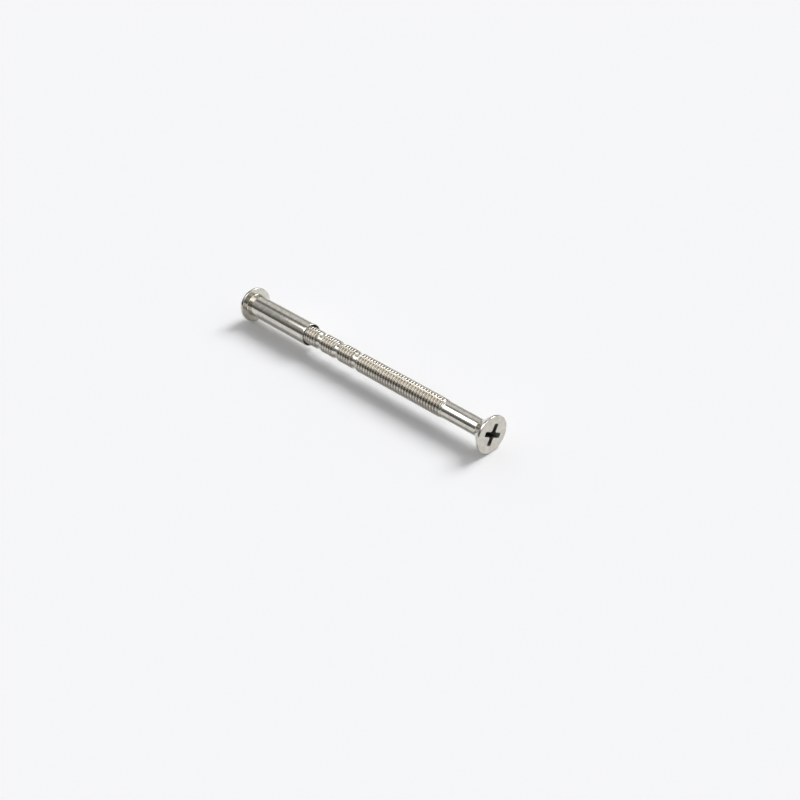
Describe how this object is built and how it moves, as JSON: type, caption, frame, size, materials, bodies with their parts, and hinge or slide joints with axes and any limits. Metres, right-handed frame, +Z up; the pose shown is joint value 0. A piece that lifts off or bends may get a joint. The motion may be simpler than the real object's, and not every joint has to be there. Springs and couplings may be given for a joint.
{
  "type": "binding barrel screw",
  "caption": "Binding barrel screw: a long countersunk machine screw with break-off necks, turned into a sleeve nut with a domed head. Both heads have a cross recess.",
  "frame": {"origin": "on the floor, under the middle of the pair as it lies on the rims of its two heads", "axes": "+Z up, +X along the pair from the sleeve's domed head to the screw's flat head"},
  "size_m": [0.0775, 0.0082, 0.0081],
  "materials": {
    "nickel_plate": "polished"
  },
  "bodies": {
    "sleeve": {"sleeve_nut": "nickel_plate"},
    "screw": {"break_off_screw": "nickel_plate"}
  },
  "joints": [
    {"name": "screw_travel", "type": "slide", "parent": "sleeve", "child": "screw", "axis": [1, 0, 0], "range_m": [-0.00953, 0.00556]}
  ]
}
